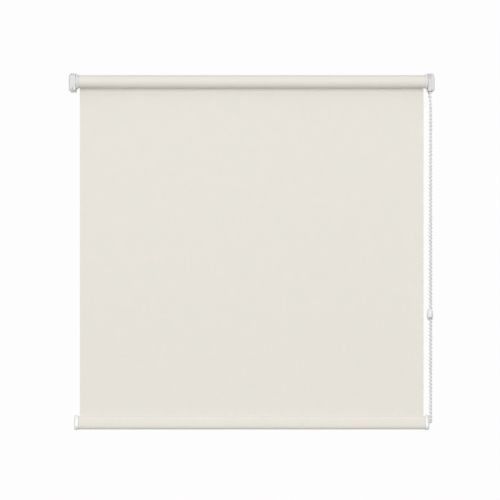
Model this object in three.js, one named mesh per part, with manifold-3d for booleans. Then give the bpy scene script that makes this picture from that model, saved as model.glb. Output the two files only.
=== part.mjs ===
// Roller blind with a bead chain drive: a cloth on a tube, carried by two covered brackets.
// Lengths are millimetres and +Z is up. The pieces are made around the roller's axis, which is
// the X axis: the room is towards -Y and the wall towards +Y. The finished blind is then moved,
// so that the middle of the left bracket's wall face is the origin.

import * as THREE from "three";
import { mergeVertices } from "three/addons/utils/BufferGeometryUtils.js";
import Module from "manifold-3d";

const wasm = await Module();
wasm.setup();

// Clearances
const looseFit = 0.3; // between pieces that turn, slide or plug together
const closeFit = 0.15; // between a skin and what it lies on
const overrun = 1; // how far a cut runs past the face that it opens
const weld = 0.0001; // vertices closer than this are one

// Cloth
const clothWidth = 566.8;
const clothThickness = 0.42;
const layerGap = 0.02; // air between two layers on the tube
const wrapsAtRest = 2.5;

// Roller tube and its adhesive strip
const tubeRadius = 9;
const tubeWall = 0.8;
const tubeOverhang = 0.2; // bare tube past each edge of the cloth
const keyWidth = 1.4; // rib along the inside of the tube
const keyHeight = 1.1;
const tapeBed = 0.2; // room between tube and cloth, in which the strip lies
const tapeThickness = 0.1;
const tapeSteps = 3;

// Flanges at both ends of the tube
const flangeRadius = 12.7;
const flangeThickness = 4.7;
const flangeEdge = 0.8; // chamfer of the rim
const rimWidth = 1.9; // full part of the rim, beside the cover
const rimTaper = 1.5; // from there down to the side of the cloth
const plugLength = 26; // inside the tube

// Spring pin at the left end
const pinBarrelRadius = 4;
const pinBarrelLength = 10;
const pinTipRadius = 2.45;
const pinEngagement = 5; // in the bracket's boss
const pinNose = 0.6; // chamfer of the tip
const plugEndWall = 2; // between the pin's barrel and the flange's outer face
const springWire = 0.7;
const idleSpringTurns = 8;
const capDisc = 1.6;
const capSpigot = 2.2;

// Bead chain and its wheel
const beadRadius = 2.25;
const beadPitch = 6;
const stringRadius = 0.6;
const pockets = 10;
const wheelThickness = 4.4;
const wheelCrest = 0.95; // wheel's rim above the bead centres
const wheelLip = 1;

// Clutch
const webThickness = 1; // guard's wall beside the flange
const coreFlangeThickness = 1.3;
const coreFlangeRadius = 11;
const crownWall = 1.3;
const crownEndWall = 4;
const sleeveWall = 1;
const journalStep = 0.8; // spring seat down to the journal that carries the crown
const wrapSpringTurns = 6;
const wrapSpringPitch = 1.3;
const ribHalfAngle = Math.PI / 6; // crown's rib, in the gap of the wheel's sleeve
const sleeveHalfGap = Math.PI / 4;
const hookHalfWidth = 2;
const hookHeight = 4.4;
const hookLevel = 5;
const tongueHalfWidth = 6;
const pegRadius = 0.7;
const pegLength = 3;
const washerLap = 0.9; // past the crown's bearing hole
const washerThickness = 0.8;
const screwHeadRadius = 2.4;
const screwHeadHeight = 1.4;
const screwRadius = 0.95;
const screwLength = 9;
const recessWidth = 0.7;
const recessDepth = 0.8;

// Chain guard
const guardWall = 1.1;
const bridgeHalfWidth = 6.8; // block between the two outlets of the chain
const bridgeHeight = 3.6;
const pegRoof = 0.5; // bridge's wall over the peg's hole

// Brackets
const axisToWall = 20;
const sidePlateThickness = 1.5;
const sidePlateFront = 11; // axis to the plate's front edge
const plateCorner = 3;
const rearPlateThickness = 2;
const bossRadius = 4.3;
const bossWall = 1.3; // material behind the blind hole for the pin
const screwHoleRadius = 2.1;
const upperHoleLevel = 6.4;
const lowerHoleLevel = -8.6;
const windowWidth = 3;
const windowHeight = 4;
const windowPlace = 12.5; // axis to the window, towards the wall
const windowLevel = 5.6;

// Bracket covers
const coverTop = 12.4;
const coverBottom = -16.1;
const coverWall = 1.1;
const coverBulgeHeight = 0.6; // of the outer side
const coverTopCorner = 4.6;
const coverBottomCorner = 2.6;
const coverFrontEdge = 2;
const coverLap = 1.6; // right cover's front wall over the guard
const coverGap = 0.4; // left cover to the flange
const catchDepth = 1.4;
const grooveWidth = 0.7;
const grooveDepth = 0.8;
const grooveRun = 5;
const grooveSpacing = 3;
const notchWidth = 1.8;
const notchHeight = 4.6;
const notchPlace = 4.4; // inner edge of the cover to the notch

// Bottom rail
const dropBelowAxis = 571.7; // roller's axis to the rail's lower edge
const railHeight = 21.8; // over the cloth wrap
const railDepth = 10;
const railRound = 6.5; // height of the rounding along its lower edge
const wrapThickness = 0.4;
const wrapOverhang = 2.1; // past the hanging cloth, at each side
const railWall = 1.2;
const lipHeight = 2.8; // of the rail's lips, over the pocket
const pocketDepth = 4.3;
const pocketWidth = 3.4;
const tuckDepth = 0.3; // wrap's edges below the slot's lips
const splineGap = 0.4;
const splineCorner = 0.8;
const endSetBack = 0.3; // rail inside its wrap, at each end

// Caps on the bottom rail
const capThickness = 7;
const capProud = 1.4; // past the wrap, above, below, in front and behind
const capEdge = 2.2;
const spigotLength = 12;
const spigotWall = 1.4;

// Chain connector
const connectorRadius = 5.3;
const connectorHeight = 20.4;
const connectorBoreRadius = 2.8;
const connectorShares = [[1, -1], [1, 0.2], [0.95, 0.55], [0.83, 0.82], [0.66, 1]]; // bullet's outline
const connectorSeam = 0.2;
const archHalfWidth = 2.9;
const archHeight = 6.6;

// Counts of facets
const turnSteps = 24;
const smallTurnSteps = 16;
const cornerSteps = 3; // half as many as a quarter round has
const roundSteps = 16; // along each half of the rail's section
const beadAround = 8;
const beadAlong = 6;
const cordSides = 8;
const cordStepsPerPoint = 3;
const wireSides = 5;
const wireStepsPerTurn = 10;

// The chain's free part: out of the guard, down in front of the rail's cap, round, and up again
// beside that cap
const chainRoute = [
  [292.4, -9.7, -10.6],
  [292.4, -9.7, -20],
  [292.3, -9.3, -50],
  [292.2, -8.7, -95],
  [292.2, -7.8, -155],
  [292.2, -7.0, -225],
  [292.2, -6.5, -300],
  [292.2, -6.4, -382],
  [292.2, -6.6, -450],
  [292.4, -7.6, -503],
  [292.7, -8.8, -533],
  [292.9, -9.3, -549.9],
  [293.2, -6.6, -556.5],
  [293.9, 0, -559.2],
  [295.4, 6.6, -556.5],
  [295.4, 9.3, -549.9],
  [295.4, 8.8, -533],
  [295.4, 7.6, -503],
  [295.4, 6.6, -450],
  [295.4, 6.2, -380],
  [295.4, 6.4, -300],
  [295.4, 6.9, -225],
  [295.4, 7.7, -155],
  [295.4, 8.7, -95],
  [295.3, 9.4, -42],
  [293.7, 9.6, -27],
  [292.4, 9.7, -18],
  [292.4, 9.7, -10.6],
];
const connectorIndex = 7;

// Places worked out from the sizes. A place along X is a distance from the blind's middle.
const layerPitch = clothThickness + layerGap;
const firstLayerRadius = tubeRadius + tapeBed;
const rollRadius = firstLayerRadius + layerPitch * wrapsAtRest + clothThickness;
const sheetPlace = rollRadius - clothThickness / 2;
const tubeBore = tubeRadius - tubeWall;
const clothEnd = clothWidth / 2;
const tubeEnd = clothEnd + tubeOverhang;
const plugRadius = tubeBore - looseFit;
const plugEnd = tubeEnd - plugLength;
const capRadius = tubeBore - keyHeight - looseFit;
const flangeIn = tubeEnd + looseFit;
const flangeOut = flangeIn + flangeThickness;
const guardIn = flangeOut + looseFit;
const wheelIn = guardIn + webThickness + looseFit;
const wheelOut = wheelIn + wheelThickness;
const wheelMiddle = (wheelIn + wheelOut) / 2;
const coreFlangeIn = wheelOut + looseFit;
const coreFlangeOut = coreFlangeIn + coreFlangeThickness;
const sidePlateIn = coreFlangeOut + looseFit;
const sidePlateOut = sidePlateIn + sidePlateThickness;
const coverCavityOut = sidePlateOut + looseFit;
const coverEdgeOut = coverCavityOut + coverWall;
const rearPlateIn = guardIn + coverGap;
const pitchRadius = beadPitch / 2 / Math.sin(Math.PI / pockets);
const guardBore = pitchRadius + beadRadius + looseFit;
const guardRadius = guardBore + guardWall;
const bracketTop = coverTop - coverWall - looseFit;
const bracketBottom = coverBottom + coverWall + looseFit;
const pegLevel = coverBottom + bridgeHeight - pegRoof - looseFit - pegRadius;
const coverFrontInside = -(guardRadius + looseFit);
const coverRear = axisToWall - looseFit;
const screwHolePlace = (rearPlateIn + sidePlateIn) / 2;
const wallFaceMiddle = (rearPlateIn + sidePlateOut) / 2;
const boreRadius = pinBarrelRadius + looseFit;
const pinHoleRadius = pinTipRadius + looseFit;
const pinShoulder = flangeOut - plugEndWall - looseFit;
const bossEnd = guardIn + coverGap;
const springOut = pinShoulder - pinBarrelLength - looseFit;
const springIn = plugEnd + capSpigot + looseFit;
const crownBore = plugRadius - crownWall;
const crownBoreEnd = plugEnd + crownEndWall;
const sleeveOutside = crownBore - looseFit;
const sleeveRadius = sleeveOutside - sleeveWall;
const shoulderRadius = sleeveRadius + looseFit; // the wheel turns on it
const springSeatRadius = sleeveRadius - springWire - 2 * looseFit; // the wrap springs grip it
const journalRadius = springSeatRadius - journalStep;
const bearingRadius = journalRadius + looseFit;
const washerRadius = bearingRadius + washerLap;
const railTop = -dropBelowAxis + railHeight;
const railTopFace = railTop - wrapThickness - closeFit;
const lipsUnderside = railTopFace - lipHeight;
const splineTop = lipsUnderside - tuckDepth - splineGap;
const wrapEnd = clothEnd + wrapOverhang;

// Materials
function finish(colour, roughness, metalness) {
  return new THREE.MeshStandardMaterial({ color: colour, roughness, metalness });
}
const cloth = finish(0xe6e3db, 0.9, 0);
const whitePlastic = finish(0xe9e8e6, 0.4, 0);
const greyPlastic = finish(0xd8d6d4, 0.45, 0);
const darkPlastic = finish(0x8c8c8e, 0.5, 0);
const aluminium = finish(0xb9bcc0, 0.35, 0.9);
const steel = finish(0x9a9ca0, 0.3, 0.9);
const adhesive = finish(0xf2efe2, 0.6, 0);

const blind = new THREE.Group();

// A closed three.js geometry as a solid that can be joined and cut
function solid(geometry) {
  const bare = geometry.clone();
  for (const name of Object.keys(bare.attributes)) {
    if (name !== "position") bare.deleteAttribute(name);
  }
  const merged = mergeVertices(bare, weld);
  const points = merged.attributes.position.array;
  const index = merged.index.array;
  const corners = [];
  let volume = 0;
  const [a, b, c] = [new THREE.Vector3(), new THREE.Vector3(), new THREE.Vector3()];
  for (let i = 0; i < index.length; i += 3) {
    const [p, q, r] = index.slice(i, i + 3);
    if (p === q || q === r || r === p) continue;
    corners.push(p, q, r);
    a.fromArray(points, 3 * p);
    b.fromArray(points, 3 * q);
    c.fromArray(points, 3 * r);
    volume += a.dot(b.cross(c));
  }
  if (volume < 0) corners.reverse();
  const triVerts = new Uint32Array(corners);
  const vertProperties = new Float32Array(points);
  return new wasm.Manifold(new wasm.Mesh({ numProp: 3, vertProperties, triVerts }));
}

// Adds a solid to the blind as a named piece
function piece(name, material, shape) {
  const made = shape.getMesh();
  const geometry = new THREE.BufferGeometry();
  geometry.setAttribute("position", new THREE.BufferAttribute(made.vertProperties, made.numProp));
  geometry.setIndex(new THREE.BufferAttribute(made.triVerts, 1));
  geometry.computeVertexNormals();
  const mesh = new THREE.Mesh(geometry, material);
  mesh.name = name;
  blind.add(mesh);
}

// A box between two corners, given as its extents along X, Y and Z in any order of the ends
function box([x0, x1], [y0, y1], [z0, z1]) {
  const geometry = new THREE.BoxGeometry(Math.abs(x1 - x0), Math.abs(y1 - y0), Math.abs(z1 - z0));
  geometry.translate((x0 + x1) / 2, (y0 + y1) / 2, (z0 + z1) / 2);
  return solid(geometry);
}

// An outline in the Y-Z plane, pushed along X from one place to another
function alongX(outline, from, to, options = {}) {
  const depth = Math.abs(to - from);
  const settings = { depth, bevelEnabled: false, curveSegments: cornerSteps, ...options };
  const geometry = new THREE.ExtrudeGeometry(outline, settings);
  const turn = new THREE.Matrix4();
  turn.makeBasis(new THREE.Vector3(0, 1, 0), new THREE.Vector3(0, 0, 1), new THREE.Vector3(1, 0, 0));
  geometry.applyMatrix4(turn);
  geometry.translate(Math.min(from, to), 0, 0);
  return solid(geometry);
}

// An outline in the X-Z plane, pushed from the wall's side towards the room
function alongY(outline, rear, front, options = {}) {
  const depth = rear - front;
  const settings = { depth, bevelEnabled: false, curveSegments: cornerSteps, ...options };
  const geometry = new THREE.ExtrudeGeometry(outline, settings);
  geometry.rotateX(Math.PI / 2);
  geometry.translate(0, rear, 0);
  return solid(geometry);
}

// A piece turned about the X axis, from [place along X, radius] points
function turned(profile, steps = turnSteps) {
  const points = profile.map(([x, radius]) => new THREE.Vector2(radius, x));
  const geometry = new THREE.LatheGeometry(points, steps);
  const turn = new THREE.Matrix4();
  turn.makeBasis(new THREE.Vector3(0, 0, 1), new THREE.Vector3(1, 0, 0), new THREE.Vector3(0, 1, 0));
  geometry.applyMatrix4(turn);
  return solid(geometry);
}

// A plain rod about the X axis
function rod(radius, from, to, steps = turnSteps) {
  const profile = [[from, 0], [from, radius], [to, radius], [to, 0]];
  return turned(profile, steps);
}

// A plain rod along Y through a point of the X-Z plane
function crossRod(radius, x, z, from, to) {
  const geometry = new THREE.CylinderGeometry(radius, radius, Math.abs(to - from), smallTurnSteps);
  geometry.translate(x, (from + to) / 2, z);
  return solid(geometry);
}

// A shape through points, without those that repeat their neighbour
function polygon(points) {
  const kept = points.filter((point, i) => point.distanceTo(points.at(i - 1)) > weld);
  return new THREE.Shape(kept);
}

// A rectangle with round corners
function roundedOutline(width, height, corner, middleX = 0, middleY = 0) {
  const [left, right] = [middleX - width / 2, middleX + width / 2];
  const [low, high] = [middleY - height / 2, middleY + height / 2];
  const outline = new THREE.Shape();
  outline.absarc(right - corner, high - corner, corner, 0, Math.PI / 2);
  outline.absarc(left + corner, high - corner, corner, Math.PI / 2, Math.PI);
  outline.absarc(left + corner, low + corner, corner, Math.PI, 1.5 * Math.PI);
  outline.absarc(right - corner, low + corner, corner, 1.5 * Math.PI, 2 * Math.PI);
  outline.closePath();
  return polygon(outline.getPoints(cornerSteps));
}

// A band around the X axis between two angles, as a polygon with one corner at each step
function bandOutline(insideRadius, outsideRadius, from, to, steps) {
  const points = [];
  for (let i = 0; i <= steps; i += 1) {
    const angle = from + ((to - from) * i) / steps;
    points.push(new THREE.Vector2(Math.cos(angle), Math.sin(angle)).multiplyScalar(outsideRadius));
  }
  for (let i = steps; i >= 0; i -= 1) {
    const angle = from + ((to - from) * i) / steps;
    points.push(new THREE.Vector2(Math.cos(angle), Math.sin(angle)).multiplyScalar(insideRadius));
  }
  return new THREE.Shape(points);
}

// A coil of wire about the X axis
class Coil extends THREE.Curve {
  constructor(radius, from, to, turns) {
    super();
    Object.assign(this, { radius, from, to, turns });
  }

  getPoint(t, target = new THREE.Vector3()) {
    const angle = 2 * Math.PI * this.turns * t;
    const x = this.from + (this.to - this.from) * t;
    return target.set(x, this.radius * Math.cos(angle), this.radius * Math.sin(angle));
  }
}

// The section of a cord or wire, with its corners on the circle
function roundSection(radius, sides) {
  const points = [];
  for (let i = 0; i < sides; i += 1) {
    const angle = (2 * Math.PI * i) / sides;
    points.push(new THREE.Vector2(Math.cos(angle), Math.sin(angle)).multiplyScalar(radius));
  }
  return new THREE.Shape(points);
}

// A coil spring, whose ends lie within the two places along X
function coilSpring(radius, from, to, turns) {
  const extrudePath = new Coil(radius, from + springWire / 2, to - springWire / 2, turns);
  const steps = turns * wireStepsPerTurn;
  const wire = roundSection(springWire / 2, wireSides);
  return solid(new THREE.ExtrudeGeometry(wire, { steps, extrudePath }));
}

// The route of a cord, sampled evenly between its points, so that its bends get most of the steps
class Route extends THREE.CatmullRomCurve3 {
  getUtoTmapping(u) {
    return u;
  }
}

// The spiral of cloth on the tube. Its outer end meets the hanging cloth at the rear.
function clothSpiral() {
  const steps = turnSteps * wrapsAtRest;
  const radiusAt = (i) => rollRadius - (layerPitch * i) / turnSteps;
  const points = [];
  for (let i = 0; i <= steps; i += 1) {
    const angle = (2 * Math.PI * i) / turnSteps;
    points.push(new THREE.Vector2(Math.cos(angle), Math.sin(angle)).multiplyScalar(radiusAt(i)));
  }
  for (let i = steps; i >= 0; i -= 1) {
    const angle = (2 * Math.PI * i) / turnSteps;
    const radius = radiusAt(i) - clothThickness;
    points.push(new THREE.Vector2(Math.cos(angle), Math.sin(angle)).multiplyScalar(radius));
  }
  return alongX(new THREE.Shape(points), -clothEnd, clothEnd);
}

function rollerTube() {
  const wall = [[-tubeEnd, tubeBore], [-tubeEnd, tubeRadius], [tubeEnd, tubeRadius], [tubeEnd, tubeBore]];
  const ring = turned([...wall, wall[0]]);
  const key = box(
    [-tubeEnd, tubeEnd],
    [-keyWidth / 2, keyWidth / 2],
    [-tubeBore + keyHeight, -tubeBore - tubeWall / 2],
  );
  return ring.add(key);
}

function adhesiveStrip() {
  const inside = tubeRadius + (tapeBed - tapeThickness) / 2;
  const end = 2 * Math.PI * (wrapsAtRest % 1);
  const start = end - (2 * Math.PI * tapeSteps) / turnSteps;
  const outline = bandOutline(inside, inside + tapeThickness, start, end, tapeSteps);
  return alongX(outline, -clothEnd, clothEnd);
}

// A plug's flange and its body inside the tube, with the slot for the tube's key
function plugBlank(side) {
  const blank = turned([
    [side * plugEnd, 0],
    [side * plugEnd, plugRadius],
    [side * flangeIn, plugRadius],
    [side * flangeIn, flangeRadius - rimTaper],
    [side * (flangeOut - rimWidth), flangeRadius],
    [side * (flangeOut - flangeEdge), flangeRadius],
    [side * flangeOut, flangeRadius - flangeEdge],
    [side * flangeOut, 0],
  ]);
  const halfSlot = keyWidth / 2 + looseFit;
  const slot = box(
    [side * (plugEnd - overrun), side * flangeIn],
    [-halfSlot, halfSlot],
    [-plugRadius - overrun, -tubeBore + keyHeight + looseFit],
  );
  return blank.subtract(slot);
}

function idlePlug() {
  const bore = rod(boreRadius, -(flangeOut - plugEndWall), -(plugEnd - overrun), smallTurnSteps);
  const mouth = rod(pinHoleRadius, -(flangeOut + overrun), -(plugEnd - overrun), smallTurnSteps);
  return plugBlank(-1).subtract(bore).subtract(mouth);
}

function idlePin() {
  const tipEnd = bossEnd + pinEngagement;
  return turned([
    [-tipEnd, 0],
    [-tipEnd, pinTipRadius - pinNose],
    [-(tipEnd - pinNose), pinTipRadius],
    [-pinShoulder, pinTipRadius],
    [-pinShoulder, pinBarrelRadius],
    [-(pinShoulder - pinBarrelLength), pinBarrelRadius],
    [-(pinShoulder - pinBarrelLength), 0],
  ], smallTurnSteps);
}

function idleSpring() {
  const radius = pinBarrelRadius - springWire / 2 - closeFit;
  return coilSpring(radius, -springOut, -springIn, idleSpringTurns);
}

// Closes the plug's bore behind the spring
function idlePlugCap() {
  const spigotEnd = plugEnd + capSpigot;
  const discOut = plugEnd - looseFit;
  return turned([
    [-spigotEnd, 0],
    [-spigotEnd, pinBarrelRadius],
    [-discOut, pinBarrelRadius],
    [-discOut, capRadius],
    [-(discOut - capDisc), capRadius],
    [-(discOut - capDisc), 0],
  ], smallTurnSteps);
}

// The right end's plug, which the clutch turns: its rib lies between the springs' ends
function driveCrown() {
  const bore = rod(crownBore, crownBoreEnd, flangeOut + overrun);
  const bearing = rod(bearingRadius, plugEnd - overrun, flangeOut, smallTurnSteps);
  const rib = alongX(
    bandOutline(sleeveRadius, crownBore + sleeveWall / 2, -ribHalfAngle, ribHalfAngle, cornerSteps),
    crownBoreEnd - looseFit,
    flangeIn,
  );
  return plugBlank(1).subtract(bore).subtract(bearing).add(rib);
}

// The fixed part of the clutch: flange with its hooks, shoulder for the wheel, seat for the springs
function clutchCore() {
  const shoulderEnd = wheelIn + wheelLip + looseFit;
  const seatEnd = crownBoreEnd + looseFit;
  const journalEnd = plugEnd - looseFit;
  let core = turned([
    [journalEnd, 0],
    [journalEnd, journalRadius],
    [seatEnd, journalRadius],
    [seatEnd, springSeatRadius],
    [shoulderEnd, springSeatRadius],
    [shoulderEnd, shoulderRadius],
    [coreFlangeIn, shoulderRadius],
    [coreFlangeIn, coreFlangeRadius],
    [coreFlangeOut, coreFlangeRadius],
    [coreFlangeOut, 0],
  ]);
  const tongue = box(
    [coreFlangeIn, coreFlangeOut],
    [-tongueHalfWidth, tongueHalfWidth],
    [bracketBottom, -shoulderRadius],
  );
  const peg = rod(pegRadius, coreFlangeIn - pegLength, coreFlangeOut, smallTurnSteps);
  core = core.add(tongue).add(peg.translate(0, 0, pegLevel));
  for (const level of [hookLevel, -hookLevel]) {
    const hook = box(
      [coreFlangeOut - coreFlangeThickness / 2, sidePlateOut],
      [-hookHalfWidth, hookHalfWidth],
      [level - hookHeight / 2, level + hookHeight / 2],
    );
    core = core.add(hook);
  }
  const threadEnd = journalEnd + screwLength;
  return core.subtract(rod(screwRadius + looseFit, journalEnd - overrun, threadEnd, smallTurnSteps));
}

function clutchWasher() {
  const outer = plugEnd - 2 * looseFit;
  const inner = outer - washerThickness;
  const hole = screwRadius + looseFit;
  const wall = [[inner, hole], [inner, washerRadius], [outer, washerRadius], [outer, hole]];
  return turned([...wall, wall[0]], smallTurnSteps);
}

function clutchScrew() {
  const headTop = plugEnd - 2 * looseFit - washerThickness - closeFit;
  const screw = turned([
    [headTop - screwHeadHeight, 0],
    [headTop - screwHeadHeight, screwHeadRadius - recessWidth],
    [headTop - screwHeadHeight / 2, screwHeadRadius],
    [headTop, screwHeadRadius],
    [headTop, screwRadius],
    [headTop + screwLength, screwRadius],
    [headTop + screwLength, 0],
  ], smallTurnSteps);
  const depth = [headTop - screwHeadHeight - overrun, headTop - screwHeadHeight + recessDepth];
  const wide = [-screwHeadRadius / 2, screwHeadRadius / 2];
  const narrow = [-recessWidth / 2, recessWidth / 2];
  return screw.subtract(box(depth, wide, narrow)).subtract(box(depth, narrow, wide));
}

// Two springs that grip the core: one holds the blind, the other slips as the chain is pulled
function wrapSpring(index) {
  const length = wrapSpringTurns * wrapSpringPitch + springWire;
  const from = crownBoreEnd + looseFit + index * (length + looseFit);
  const radius = springSeatRadius + looseFit + springWire / 2;
  return coilSpring(radius, from, from + length, wrapSpringTurns);
}

function chainWheel() {
  const rim = pitchRadius + wheelCrest;
  const bore = shoulderRadius + looseFit;
  let wheel = turned([
    [wheelIn, sleeveRadius],
    [wheelIn, rim],
    [wheelOut, rim],
    [wheelOut, bore],
    [wheelIn + wheelLip, bore],
    [wheelIn + wheelLip, sleeveRadius],
    [wheelIn, sleeveRadius],
  ]);
  const halfGroove = stringRadius + looseFit;
  const floor = pitchRadius - halfGroove;
  const groove = turned([
    [wheelMiddle - halfGroove, floor],
    [wheelMiddle - halfGroove, rim + overrun],
    [wheelMiddle + halfGroove, rim + overrun],
    [wheelMiddle + halfGroove, floor],
    [wheelMiddle - halfGroove, floor],
  ]);
  wheel = wheel.subtract(groove);
  for (let i = 0; i < pockets; i += 1) {
    wheel = wheel.subtract(beadOnWheel(i, beadRadius + looseFit));
  }
  const [from, to] = [sleeveHalfGap, 2 * Math.PI - sleeveHalfGap];
  const sleeve = alongX(
    bandOutline(sleeveRadius, sleeveOutside, from, to, smallTurnSteps),
    crownBoreEnd + looseFit,
    wheelIn + wheelLip / 2,
  );
  return wheel.add(sleeve);
}

// A bead, or the pocket for it, at its place on the wheel
function beadOnWheel(i, radius) {
  const angle = (2 * Math.PI * i) / pockets;
  const geometry = new THREE.SphereGeometry(radius, beadAround, beadAlong);
  geometry.rotateX(angle);
  geometry.translate(wheelMiddle, pitchRadius * Math.cos(angle), pitchRadius * Math.sin(angle));
  return solid(geometry);
}

// The beads and the string that lie on the wheel's upper half
function chainOnWheel() {
  const half = bandOutline(
    pitchRadius - stringRadius,
    pitchRadius + stringRadius,
    0,
    Math.PI,
    turnSteps / 2,
  );
  let chain = alongX(half, wheelMiddle - stringRadius, wheelMiddle + stringRadius);
  for (let i = 0; i <= pockets / 2; i += 1) {
    chain = chain.add(beadOnWheel(i, beadRadius));
  }
  return chain;
}

// An arch over the wheel, down to the guard's lower edge
function guardOutline(radius, low) {
  const outline = new THREE.Shape();
  outline.moveTo(radius, low);
  outline.lineTo(radius, 0);
  outline.absarc(0, 0, radius, 0, Math.PI);
  outline.lineTo(-radius, low);
  outline.closePath();
  return outline;
}

function chainGuard() {
  const arc = { curveSegments: turnSteps / 4 };
  const shell = alongX(guardOutline(guardRadius, coverBottom), guardIn, coreFlangeIn, arc);
  const hollow = alongX(
    guardOutline(guardBore, coverBottom - overrun),
    guardIn + webThickness,
    coreFlangeIn + overrun,
    arc,
  );
  const hole = rod(crownBore, guardIn - overrun, guardIn + webThickness + overrun);
  const bridge = box(
    [guardIn + webThickness / 2, coreFlangeIn - looseFit],
    [-bridgeHalfWidth, bridgeHalfWidth],
    [coverBottom, coverBottom + bridgeHeight],
  );
  const pegEnd = coreFlangeIn - pegLength - looseFit;
  const pegHole = rod(pegRadius + looseFit, pegEnd, coreFlangeIn, smallTurnSteps);
  const pierced = bridge.subtract(pegHole.translate(0, 0, pegLevel));
  return shell.subtract(hollow).subtract(hole).add(pierced);
}

// Side plate and wall plate, with the holes for two screws and the windows for the cover's catches
function bracketBlank(side) {
  const plate = alongX(
    roundedOutline(
      sidePlateFront + axisToWall + plateCorner,
      bracketTop - bracketBottom,
      plateCorner,
      (axisToWall + plateCorner - sidePlateFront) / 2,
      (bracketTop + bracketBottom) / 2,
    ),
    side * sidePlateIn,
    side * sidePlateOut,
  );
  const beyondWall = box(
    [side * (sidePlateIn - overrun), side * (sidePlateOut + overrun)],
    [axisToWall, axisToWall + 2 * plateCorner],
    [bracketBottom - overrun, bracketTop + overrun],
  );
  let blank = plate.subtract(beyondWall).add(box(
    [side * rearPlateIn, side * sidePlateOut],
    [axisToWall - rearPlateThickness, axisToWall],
    [bracketBottom, bracketTop],
  ));
  const roomInCover = coverOutline(side, rearPlateIn - overrun, sidePlateOut, 0, coverWall + looseFit);
  blank = blank.intersect(alongY(roomInCover, axisToWall + overrun, -sidePlateFront - overrun));
  for (const level of [upperHoleLevel, lowerHoleLevel]) {
    const [from, to] = [axisToWall - rearPlateThickness - overrun, axisToWall + overrun];
    blank = blank.subtract(crossRod(screwHoleRadius, side * screwHolePlace, level, from, to));
  }
  for (const level of [windowLevel, -windowLevel]) {
    blank = blank.subtract(box(
      [side * (sidePlateIn - overrun), side * (sidePlateOut + overrun)],
      [windowPlace - windowWidth / 2, windowPlace + windowWidth / 2],
      [level - windowHeight / 2, level + windowHeight / 2],
    ));
  }
  return blank;
}

// The left bracket's boss takes the spring pin
function leftBracket() {
  const boss = rod(bossRadius, -bossEnd, -(sidePlateOut - sidePlateThickness / 2), smallTurnSteps);
  const hole = rod(pinHoleRadius, -(bossEnd - overrun), -(sidePlateOut - bossWall), smallTurnSteps);
  return bracketBlank(-1).add(boss).subtract(hole);
}

// The right bracket's slots take the hooks of the clutch
function rightBracket() {
  let bracket = bracketBlank(1);
  for (const level of [hookLevel, -hookLevel]) {
    bracket = bracket.subtract(box(
      [sidePlateIn - overrun, sidePlateOut + overrun],
      [-hookHalfWidth - looseFit, hookHalfWidth + looseFit],
      [level - hookHeight / 2 - looseFit, level + hookHeight / 2 + looseFit],
    ));
  }
  return bracket;
}

// A cover's front view from its inner edge to its bulging outer side, or its cavity's
function coverOutline(side, inner, outer, bulge, inset) {
  const [low, high] = [coverBottom + inset, coverTop - inset];
  const [lowCorner, highCorner] = [coverBottomCorner - inset, coverTopCorner - inset];
  const [middle, half] = [(low + high) / 2, (high - low) / 2];
  const outline = new THREE.Shape();
  outline.moveTo(inner, low);
  outline.lineTo(outer - lowCorner, low);
  outline.absarc(outer - lowCorner, low + lowCorner, lowCorner, -Math.PI / 2, 0);
  for (let i = 1; i < cornerSteps; i += 1) {
    const share = i / cornerSteps;
    outline.lineTo(outer, (low + lowCorner) * (1 - share) + (high - highCorner) * share);
  }
  outline.absarc(outer - highCorner, high - highCorner, highCorner, 0, Math.PI / 2);
  outline.lineTo(inner, high);
  outline.closePath();
  const bulged = ({ x, y }) => new THREE.Vector2(side * (x + bulge * (1 - ((y - middle) / half) ** 2)), y);
  return polygon(outline.getPoints(cornerSteps).map(bulged));
}

// A bevel that rounds the front edge of a push along Y without widening the outline
function frontEdge(size) {
  return {
    bevelEnabled: true,
    bevelThickness: size,
    bevelSize: size,
    bevelOffset: -size,
    bevelSegments: cornerSteps,
  };
}

// A bracket's cover: open to the wall and to the middle, with catches that snap into the side plate
function bracketCover(side, innerEdge, lap) {
  const front = coverFrontInside - coverWall;
  const start = innerEdge - lap;
  const spare = coverFrontEdge + overrun;
  const cavityEdge = coverFrontEdge - coverWall;
  const outside = alongY(
    coverOutline(side, start - spare, coverEdgeOut, coverBulgeHeight, 0),
    coverRear + spare,
    front + coverFrontEdge,
    frontEdge(coverFrontEdge),
  );
  const cavity = alongY(
    coverOutline(side, start - 2 * spare, coverCavityOut, 0, coverWall),
    coverRear + 2 * spare,
    coverFrontInside + cavityEdge,
    frontEdge(cavityEdge),
  );
  const room = [coverBottom - spare, coverTop + spare];
  const beyondWall = box(
    [side * (start - 2 * spare), side * (coverEdgeOut + spare)],
    [coverRear, coverRear + 3 * spare],
    room,
  );
  const towardsMiddle = box(
    [side * (start - 2 * spare), side * start],
    [front - spare, coverRear + spare],
    room,
  );
  const behindLap = box(
    [side * (start - spare), side * innerEdge],
    [coverFrontInside, coverRear + spare],
    room,
  );
  let cover = outside.subtract(cavity).subtract(beyondWall).subtract(towardsMiddle).subtract(behindLap);
  for (const level of [windowLevel, -windowLevel]) {
    cover = cover.add(box(
      [side * (coverCavityOut - catchDepth), side * (coverCavityOut + coverWall / 2)],
      [windowPlace - windowWidth / 2 + looseFit, windowPlace + windowWidth / 2 - looseFit],
      [level - windowHeight / 2 + looseFit, level + windowHeight / 2 - looseFit],
    ));
  }
  for (const i of [1, 2]) {
    const place = coverEdgeOut - coverTopCorner - (i - 1) * grooveSpacing;
    if (place < innerEdge) continue;
    cover = cover.subtract(box(
      [side * (place - grooveWidth / 2), side * (place + grooveWidth / 2)],
      [front - overrun, front + grooveRun],
      [coverTop - grooveDepth, coverTop + overrun],
    ));
  }
  return cover;
}

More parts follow.
